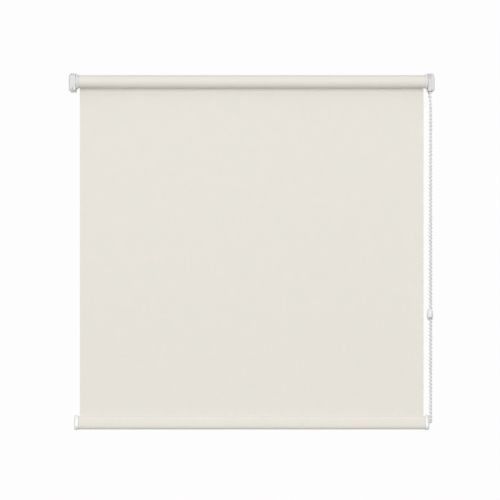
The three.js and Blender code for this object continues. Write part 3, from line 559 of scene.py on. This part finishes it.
# Polypropylene for the turning parts, off-white and satin from the mould
grey_polypropylene = moulded("moulded polypropylene", "EAE8E6", "E0DEDD", 0.3, 0.0007, 0.00002)
idle_outer, idle_end = (corner.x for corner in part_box("idle_plug"))
idle_bores = [
    (idle_end, barrel_bore),
    (idle_outer + bore_wall, barrel_bore),
    (idle_outer + bore_wall, pin_hole_radius),
    (idle_outer, pin_hole_radius),
]
plug_mesh = flanged_plug(idle_outer, idle_end, idle_bores)
plug = piece("idle_flange", plug_mesh, grey_polypropylene, "roller", "grey_plastic", "idle_plug")
softened(plug, plug_edge)
crown_end, crown_outer = (corner.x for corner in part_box("drive_crown"))
crown_bores = [
    (crown_end, bearing_radius),
    (crown_end + crown_end_wall, bearing_radius),
    (crown_end + crown_end_wall, crown_bore),
    (crown_outer, crown_bore),
]
crown_mesh = flanged_plug(crown_outer, crown_end, crown_bores)
rib_in, rib_out = crown_end + crown_end_wall - joint_lap, crown_outer - flange_thickness
rib_inner, rib_outer = drive_rib_radii
rib = arc((axis_y, 0), (rib_inner, rib_inner), -drive_rib_half, drive_rib_half, 6)
rib += arc((axis_y, 0), (rib_outer, rib_outer), drive_rib_half, -drive_rib_half, 6)
rib_mesh = pushed([(rib_in, *place) for place in rib], (rib_out - rib_in, 0, 0))
crown_mesh = combined(crown_mesh, rib_mesh, "UNION")
crown = piece("drive_flange", crown_mesh, grey_polypropylene, "roller", "grey_plastic", "drive_crown")
softened(crown, plug_edge)

# Spring pin
# The pin at the idle end slides in its plug against a coil spring, so that the blind can be pushed
# over and lifted out of its bracket. A turned cap shuts the bore behind the spring.
pin_tip_radius = 0.00245
pin_barrel_radius = 0.004
pin_barrel_length = 0.010
pin_nose = 0.0006
pin_edge = 0.0003  # rounding of the pin and of the cap behind its spring
spring_wire = 0.0007
idle_coil_radius = 0.0035
idle_coil_turns = 8
wire_steps = 24  # in each turn
# White ABS: harder and glossier than the grey parts
white_abs = moulded("moulded white ABS", "D7D7D6", "CFCFCF", 0.33, 0.0006, 0.000015)
pin_start, pin_end = (corner.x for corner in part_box("idle_pin"))
pin_shoulder = pin_end - pin_barrel_length
pin_profile = [
    (pin_start, 0),
    (pin_start, pin_tip_radius - pin_nose),
    (pin_start + pin_nose, pin_tip_radius),
    (pin_shoulder, pin_tip_radius),
    (pin_shoulder, pin_barrel_radius),
    (pin_end, pin_barrel_radius),
    (pin_end, 0),
]
pin = piece("spring_pin", turned(pin_profile), white_abs, "idle_pin", "white_plastic", "idle_pin")
softened(pin, pin_edge)


def coil(start, end, radius, turns):
    """A coil of wire round the roller's axis, whose outside lies between two places along X."""
    steps = turns * wire_steps
    places = []
    for i in range(steps + 1):
        angle = 2 * math.pi * i / wire_steps
        x = start + spring_wire / 2 + (end - start - spring_wire) * i / steps
        places.append((x, axis_y + radius * math.cos(angle), radius * math.sin(angle)))
    bm = bmesh.new()
    tube(bm, places, spring_wire / 2, 2)
    return bm


# Patented spring wire is bright, and its drawing lines run along it
spring_steel = drawn_metal("drawn spring steel", "C9CACC", "A6A8AB", 0.26, 0.0002, 0.004)
spring_start, spring_end = (corner.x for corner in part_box("idle_spring"))
idle_coil = coil(spring_start, spring_end, idle_coil_radius, idle_coil_turns)
idle_coil = piece("pin_spring", idle_coil, spring_steel, "roller", "steel", "idle_spring")
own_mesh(idle_coil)
cap_start, cap_end = (corner.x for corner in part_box("idle_plug_cap"))
cap_disc = 0.0016
cap_radius = 0.0068
cap_profile = [
    (cap_start, 0),
    (cap_start, pin_barrel_radius),
    (cap_end - cap_disc, pin_barrel_radius),
    (cap_end - cap_disc, cap_radius),
    (cap_end, cap_radius),
    (cap_end, 0),
]
bore_cap = piece("bore_cap", turned(cap_profile), white_abs, "roller", "white_plastic", "idle_plug_cap")
softened(bore_cap, pin_edge)

# Clutch
# Two wrap springs grip the fixed core. A turn of the chain wheel loosens them, and a pull of the
# cloth tightens them. A washer and a screw hold the turning crown on the core's end.
clutch_coil_radius = 0.00465
clutch_coil_turns = 6
for node in ("brake_spring", "release_spring"):
    start, end = (corner.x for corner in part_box(node))
    wound = coil(start, end, clutch_coil_radius, clutch_coil_turns)
    piece("wound_" + node, wound, spring_steel, "roller", "steel", node)


def smoothed_copy(node):
    """A CAD node's solid with its loose triangles merged into whole faces."""
    bm = bmesh.new()
    bm.from_mesh(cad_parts[node].data)
    bmesh.ops.remove_doubles(bm, verts=bm.verts, dist=2e-6)
    bmesh.ops.dissolve_limit(bm, angle_limit=math.radians(0.5), verts=bm.verts, edges=bm.edges)
    return bm


# Zinc plating leaves screws and washers cool grey, with a soft bloom
zinc_plate = drawn_metal("bright zinc plate", "C4C7CA", "A9ADB2", 0.3, 0.0008, 0.0012)
# The wheel is grey acetal, slippery against the white core
grey_acetal = moulded("moulded grey acetal", "97979A", "86868A", 0.38, 0.0008, 0.00002)
# Node, name, finish, body, slot and rounding of the edges
inner_parts = [
    ("clutch_core", "fixed_core", white_abs, "frame", "white_plastic", 0.00015),
    ("clutch_washer", "end_washer", zinc_plate, "frame", "steel", 0.0001),
    ("clutch_screw", "end_screw", zinc_plate, "frame", "steel", 0.0001),
    ("chain_wheel", "pocketed_wheel", grey_acetal, "chain_wheel", "dark_plastic", 0.0001),
]
for node, name, material, body, slot_name, edge in inner_parts:
    softened(piece(name, smoothed_copy(node), material, body, slot_name, node), edge)

# Chain on its wheel
# Half a turn of the chain lies in the wheel's ten pockets, and goes round with it.
pockets = 10
wheel_middle = 0.58605
wheel_pitch_radius = bead_pitch / 2 / math.sin(math.pi / pockets)
wheel_chain = bmesh.new()
half_turn = arc((axis_y, 0), (wheel_pitch_radius, wheel_pitch_radius), 0, 180, 30)
tube(wheel_chain, [(wheel_middle, *place) for place in half_turn], string_radius, 1)
for i in range(pockets // 2 + 1):
    angle = 2 * math.pi * i / pockets
    out = Vector((0, math.cos(angle), math.sin(angle)))
    place = Vector((wheel_middle, axis_y, 0)) + out * wheel_pitch_radius
    bead(wheel_chain, place, Vector((1, 0, 0)).cross(out))
piece("beads_on_wheel", wheel_chain, acetal, "chain_wheel", "white_plastic", "chain_on_wheel")

# Chain guard
# An arched housing over the wheel. Its web closes the side towards the roller, and the block between
# the chain's two outlets holds the core's peg.
guard_low, guard_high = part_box("chain_guard")
guard_radius = (guard_high.y - guard_low.y) / 2
guard_wall = 0.0011
guard_web = 0.001
bridge_half_width = 0.0068
bridge_height = 0.0036
bridge_gap = 0.0003  # to the cover
guard_edge = 0.0003


def arched(radius, low, start, end):
    """An arch over the wheel, pushed along X from start to end."""
    round_top = arc((axis_y, 0), (radius, radius), 0, 180, 40)
    outline = [(axis_y + radius, low), *round_top, (axis_y - radius, low)]
    return pushed([(start, *place) for place in outline], (end - start, 0, 0))


guard = arched(guard_radius, guard_low.z, guard_low.x, guard_high.x)
hollow_start, hollow_end = guard_low.x + guard_web, guard_high.x + overrun
hollow = arched(guard_radius - guard_wall, guard_low.z - overrun, hollow_start, hollow_end)
guard = combined(guard, hollow, "DIFFERENCE")
web_hole = [
    (guard_low.x - overrun, 0),
    (guard_low.x - overrun, crown_bore),
    (guard_low.x + 2 * guard_web, crown_bore),
    (guard_low.x + 2 * guard_web, 0),
]
guard = combined(guard, turned(web_hole), "DIFFERENCE")
bridge = block(
    (guard_low.x + guard_web / 2, axis_y - bridge_half_width, guard_low.z),
    (guard_high.x - bridge_gap, axis_y + bridge_half_width, guard_low.z + bridge_height),
)
guard = combined(guard, bridge, "UNION")
# The guard is a shade greyer than the turning parts
guard_grey = moulded("moulded polypropylene, greyer", "D8D6D4", "CFCDCC", 0.34, 0.0007, 0.00002)
guard = piece("wheel_guard", guard, guard_grey, "frame", "grey_plastic", "chain_guard")
softened(guard, guard_edge, 3)

# Wall brackets
# Moulded white, each with a side plate for the pin or the clutch, a plate against the wall with two
# screw holes, and windows for the cover's catches. A shelf along the left one's foot stiffens it, and
# closes the cover's open side below the flange.
shelf_height = 0.0017
bracket_edge = 0.00025
shelf_low, shelf_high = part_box("left_bracket")
shelf_high.z = shelf_low.z + shelf_height
idle_bracket = combined(smoothed_copy("left_bracket"), block(shelf_low, shelf_high), "UNION")
brackets = [
    ("left_bracket", "idle_bracket", idle_bracket),
    ("right_bracket", "clutch_bracket", smoothed_copy("right_bracket")),
]
for node, name, solid in brackets:
    softened(piece(name, solid, white_abs, "frame", "white_plastic", node), bracket_edge)

# Bracket covers
# Thin shells of the same ABS that slide over the brackets from the outside. The outer side bulges.
# The slots at the top give grip, and the left one's scoop and notch below take a blade.
cover_wall = 0.0011
cover_bulge = 0.0003
cover_inset = 0.001  # of the outer side, from the CAD box
cover_top_round = (0.0036, 0.0105)  # its width and height
cover_low_round = (0.0017, 0.0023)
cover_front_round = 0.002
cover_low, cover_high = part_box("left_cover")
cover_side = cover_low.x + cover_inset
catch_depth = 0.0014
groove_width, groove_depth, groove_run = 0.0007, 0.0028, 0.0032
first_groove, groove_spacing = 0.0046, 0.003  # from the outer side, and apart
notch_width, notch_height, notch_place = 0.0009, 0.0042, 0.0044
scoop_radii = (0.0050, 0.0050, 0.0170)
scoop_depth = 0.0008
catch_half = (0.0012, 0.0017)
catch_places = [(-0.0075, 0.0056), (-0.0075, -0.0056)]
least_round = 0.0003  # of an inner corner
left_lap, right_lap = 0.0006, 0.0016  # of the front wall, over the flange or the guard
cover_edge = 0.00018  # rounding of its sharp edges


def cover_outline(inner, inset):
    """The front view of a left cover, from its open inner edge to its bulging outer side."""
    low, high = cover_low.z + inset, cover_high.z - inset
    side = cover_side + inset
    top = [length - inset for length in cover_top_round]
    foot = [max(length - inset, least_round) for length in cover_low_round]
    points = [(inner, high), *arc((side + top[0], high - top[1]), top, 90, 180, 12)]
    points += arc((side + foot[0], low + foot[1]), foot, 180, 270, 10)
    points.append((inner, low))
    middle, half = (low + high) / 2, (high - low) / 2
    bulge = 0 if inset else cover_bulge
    return [(x - bulge * (1 - ((z - middle) / half) ** 2) * (x < inner), z) for x, z in points]


def cover_solid(inner, inset, rear, front, rounding):
    """A solid with the cover's outline whose front edge is round, except on the open inner side."""
    outline = cover_outline(inner, inset)
    bm = pushed([(x, rear, z) for x, z in outline], (0, front + rounding - rear, 0))
    face = min(bm.faces, key=lambda f: f.calc_center_median().y)
    width = inner - min(x for x, z in outline)
    height = outline[0][1] - outline[-1][1]
    shares = (1 - rounding / width, 1, 1 - 2 * rounding / height)
    domed(bm, face, (0, -rounding, 0), shares, (inner, 0, (outline[0][1] + outline[-1][1]) / 2), 6)
    return bm


def bracket_cover(inner, lap):
    """A cover in the place of the left one. Its front wall goes on past the inner edge by the lap."""
    front, rear = cover_low.y, cover_high.y
    inside = front + cover_wall
    past_lap, past_rear = inner + lap + overrun, rear + overrun
    cover = cover_solid(inner + lap, 0, rear, front, cover_front_round)
    cavity = cover_solid(past_lap, cover_wall, past_rear, inside, cover_front_round - cover_wall)
    cover = combined(cover, cavity, "DIFFERENCE")
    behind_low = (inner, inside, cover_low.z - overrun)
    behind = block(behind_low, (past_lap, past_rear, cover_high.z + overrun))
    cover = combined(cover, behind, "DIFFERENCE")
    for y, z in catch_places:
        low = (cover_side + cover_wall / 2, y - catch_half[0], z - catch_half[1])
        high = (cover_side + cover_wall + catch_depth, y + catch_half[0], z + catch_half[1])
        cover = combined(cover, block(low, high), "UNION")
    groove = cover_side + first_groove
    while groove < inner:
        low = (groove - groove_width / 2, front - overrun, cover_high.z - groove_depth)
        high = (groove + groove_width / 2, front + groove_run, cover_high.z + overrun)
        cover = combined(cover, block(low, high), "DIFFERENCE")
        groove += groove_spacing
    return cover


left_cover = bracket_cover(cover_high.x, left_lap)
notch_middle = cover_high.x - notch_place
notch_top = cover_low.z + notch_height - notch_width / 2
notch_half = notch_width / 2
notch = [(notch_middle + notch_half, cover_low.z - overrun)]
notch += arc((notch_middle, notch_top), (notch_half, notch_half), 0, 180, 12)
notch.append((notch_middle - notch_half, cover_low.z - overrun))
notch_places = [(x, cover_low.y - overrun, z) for x, z in notch]
left_cover = combined(left_cover, pushed(notch_places, (0, overrun + 2 * cover_wall, 0)), "DIFFERENCE")
scoop = bmesh.new()
scoop_place = Vector((notch_middle, cover_low.y + scoop_depth - scoop_radii[1], cover_low.z))
scoop_matrix = Matrix.Translation(scoop_place) @ Matrix.Diagonal((*scoop_radii, 1))
bmesh.ops.create_uvsphere(scoop, u_segments=96, v_segments=48, radius=1, matrix=scoop_matrix)
left_cover = combined(left_cover, scoop, "DIFFERENCE")
left = piece("idle_end_cover", left_cover, white_abs, "left_cover", "white_plastic", "left_cover")
softened(left, cover_edge)
right_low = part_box("right_cover")[0]
right_cover = bracket_cover(2 * middle_x - right_low.x - right_lap, right_lap)
mirror = Matrix.Translation((2 * middle_x, 0, 0)) @ Matrix.Diagonal((-1, 1, 1, 1))
bmesh.ops.transform(right_cover, matrix=mirror, verts=right_cover.verts)
right = piece("clutch_end_cover", right_cover, white_abs, "right_cover", "white_plastic", "right_cover")
softened(right, cover_edge)

# Hanging cloth
# The cloth leaves the roll at the rear and hangs straight into the rail's slot. It is cut square,
# with sealed edges, and lies flat but for slow shallow waves.
sheet_low, sheet_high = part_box("cloth_panel")
sheet_y = (sheet_low.y + sheet_high.y) / 2
sheet_steps = 64
wave_height = 0.00012
drop = sheet_high.z - sheet_low.z
sheet_line = [(sheet_y, sheet_high.z - drop * i / sheet_steps) for i in range(sheet_steps + 1)]
sheet_mesh = ribbon(sheet_line, cloth_low.x, cloth_high.x, sheet_steps)
for vert in sheet_mesh.verts:
    down = (sheet_high.z - vert.co.z) / drop
    across = (vert.co.x - cloth_low.x) / cloth_width
    held = math.sin(math.pi * down)
    waves = math.sin(9 * across + 4 * down) + 0.6 * math.sin(17 * across - 6 * down + 1)
    vert.co.y += wave_height * held * waves
sheet = piece("hanging_cloth", sheet_mesh, hanging_cloth, "frame", "cloth", "cloth_panel")
thickened(sheet, cloth_thickness)
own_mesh(sheet)

# Bottom rail and spline
# An extruded rail, hidden in its cloth. A plastic spline, welded to the cloth's lower edge, slides
# into its upper pocket.
dress("bottom_rail", mill_aluminium)
# The spline is unpigmented polypropylene, milky and soft
dress("cloth_spline", moulded("natural polypropylene", "E6E6E2", "DADAD6", 0.42, 0.001, 0.00002))

# Cloth round the rail
# A strip of the blind's own cloth, laid round the rail and tucked into its slot at both edges.
wrap_low, wrap_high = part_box("rail_wrap")
wrap_thickness = 0.0004
wrap_round = 0.0065  # height of the blunt rounding below
wrap_slack = 0.0006  # the cloth hangs this far below the metal
cap_proud = 0.0014
rail_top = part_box("left_rail_cap")[1].z - cap_proud
rail_level = wrap_low.z + wrap_round  # where the rail is deepest
fold_radius = 0.0004
fold_place = 75  # degrees up the rail's side, where the cloth folds into the slot
tuck_depth = 0.0035


def rail_half_outline(inset, top, start=90, slack=0):
    """Half of the rail's egg-like outline, from the top, or part of the way down, to the lowest point."""
    half = (wrap_high.y - wrap_low.y) / 2 - inset
    upper = arc((0, rail_level), (half, top - rail_level), start, 0, 24)
    return upper + arc((0, rail_level), (half, wrap_round + slack - inset), 0, -90, 20)[1:]


side = rail_half_outline(wrap_thickness / 2, rail_top - wrap_thickness / 2, fold_place, wrap_slack)
slope = Vector(side[0]) - Vector(side[1])
across = Vector((slope.y, -slope.x)).normalized()
fold_middle = Vector(side[0]) - across * fold_radius
fold_end = math.degrees(math.atan2(across.y, across.x))
fold = arc(fold_middle, (fold_radius, fold_radius), 180, fold_end, 8)
half_line = [(fold[0][0], rail_top - tuck_depth), *fold, *side[1:]]
wrap_line = [(sheet_y + y, z) for y, z in half_line] + [(sheet_y - y, z) for y, z in half_line[-2::-1]]
wrap_mesh = ribbon(wrap_line, wrap_low.x, wrap_high.x, 1)
wrap = piece("folded_cloth", wrap_mesh, wrapped_cloth, "rail", "cloth", "rail_wrap")
thickened(wrap, wrap_thickness)

# Rail caps
# Moulded caps whose hollow spigots plug into the rail. The visible block follows the rail's section,
# a little proud of the cloth, and its outer side is domed.
cap_block = 0.007
cap_gap = 0.0003  # to the cloth's edge
cap_edge = 0.0003
spigot_root = 0.002  # of the spigot, inside the block
dome_height = 0.0034
dome_shares = (0.53, 0.82)  # of the block's depth and height, left on top of the dome
spigot_length = 0.012
spigot_wall = 0.0014
spigot_gap = 0.0003
chamber_inset = 0.00175  # wrap, gap and rail's wall
chamber_drop = 0.00885  # from the wrap's top to the rail's lower hollow


def rail_section(inset, top, x):
    """The whole outline of a section of the rail, at a place along X."""
    half = rail_half_outline(inset, top)
    return [(x, sheet_y + y, z) for y, z in half] + [(x, sheet_y - y, z) for y, z in half[-2:0:-1]]


def rail_cap(way):
    """A cap, where way is the direction away from the rail."""
    inner = (wrap_high.x if way > 0 else wrap_low.x) + way * cap_gap
    places = rail_section(-cap_proud, rail_top + cap_proud, inner)
    cap = pushed(places, (way * (cap_block - dome_height), 0, 0))
    face = max(cap.faces, key=lambda f: way * f.calc_center_median().x)
    domed(cap, face, (way * dome_height, 0, 0), (1, *dome_shares), (0, sheet_y, rail_level))
    spigot_start = inner - way * spigot_length
    gap = chamber_inset + spigot_gap
    top = rail_top - chamber_drop - spigot_gap
    outside = pushed(rail_section(gap, top, spigot_start), (way * (spigot_length + spigot_root), 0, 0))
    cap = combined(cap, outside, "UNION")
    gap += spigot_wall
    hollow = rail_section(gap, top - spigot_wall, spigot_start - way * overrun)
    return combined(cap, pushed(hollow, (way * (spigot_length + overrun), 0, 0)), "DIFFERENCE")


# The caps are a lighter, glossier white than the covers. The lighter colour is painted highlight, for the
# light that their rounded faces catch
highlit_cap_white = moulded("moulded white cap", "F2F2F0", "ECECEA", 0.28, 0.0006, 0.000015)
for node, name, way in (("left_rail_cap", "idle_end_cap", -1), ("right_rail_cap", "chain_end_cap", 1)):
    softened(piece(name, rail_cap(way), highlit_cap_white, "rail", "white_plastic", node), cap_edge)

# Floor and light
# The blind hangs high above a plain pale floor. A big soft lamp stands far behind the camera, a strip
# above it gives the highlights, a weaker lamp lights the back, and a white room all sides.
floor_level = -2.0
floor_radius = 3.6


def seen_directly(tree):
    """1 for the rays that show the room to the eye, in metal or through glass, and 0 for other rays."""
    path = add(tree, "LightPath")
    rays = {0: path.outputs["Is Camera Ray"], 1: path.outputs["Is Glossy Ray"]}
    seen = add(tree, "Math", rays, operation="MAXIMUM").outputs["Value"]
    rays = {0: seen, 1: path.outputs["Is Transmission Ray"]}
    return add(tree, "Math", rays, operation="MAXIMUM").outputs["Value"]


lamps = {
    "front lamp": ((0.15, -5.5, 0.2), (3.4, 4.2), 185),
    "strip lamp": ((0.25, -2.0, 1.85), (2.0, 0.25), 1.5),
    "back lamp": ((0.30, 5.0, -0.3), (3.0, 3.0), 80),
}  # place, width and height, power
floor_mesh = bmesh.new()
floor_matrix = Matrix.Translation((middle_x, 0, floor_level))
bmesh.ops.create_circle(floor_mesh, cap_ends=True, segments=96, radius=floor_radius, matrix=floor_matrix)
floor_data = bpy.data.meshes.new("floor")
floor_mesh.to_mesh(floor_data)
floor_mesh.free()
floor = bpy.data.objects.new("floor", floor_data)
scene.collection.objects.link(floor)
# Pale to the eye, but darker where it lights the blind from below
floor_paint, tree, surface = finish("matt floor paint", Roughness=0.9)
ends = {0: seen_directly(tree), 6: linear("7C7C7A"), 7: linear("F2F2F1")}
tint = add(tree, "Mix", ends, data_type="RGBA")
tree.links.new(tint.outputs[2], surface.inputs["Base Color"])
floor_data.materials.append(floor_paint)

# White to the eye, but dimmer where it lights the blind, and dimmest from the sides and below
world = bpy.data.worlds.new("room")
world.use_nodes = True
scene.world = world
tree = world.node_tree
background = tree.nodes["Background"]
direction = add(tree, "TexCoord").outputs["Generated"]
height = add(tree, "SeparateXYZ", {0: direction}).outputs["Z"]
glow = add(tree, "MapRange", {"Value": height, "To Min": 0.5, "To Max": 0.64}).outputs["Result"]
strength = add(tree, "Mix", {0: seen_directly(tree), 2: glow, 3: 1.0}).outputs[0]
tree.links.new(strength, background.inputs["Strength"])
background.inputs["Color"].default_value = linear("FDFDFD")

for name, (place, (width, height), power) in lamps.items():
    lamp = bpy.data.objects.new(name, bpy.data.lights.new(name, "AREA"))
    lamp.data.energy = power
    lamp.data.shape = "RECTANGLE"
    lamp.data.size = width
    lamp.data.size_y = height
    lamp.location = place
    lamp.visible_camera = False
    lamp.visible_glossy = place[1] < 0  # from behind it would glare in the undersides of the covers
    aim = Vector((middle_x, axis_y, camera_place[2])) - lamp.location
    lamp.rotation_euler = aim.to_track_quat("-Z", "Y").to_euler()
    scene.collection.objects.link(lamp)
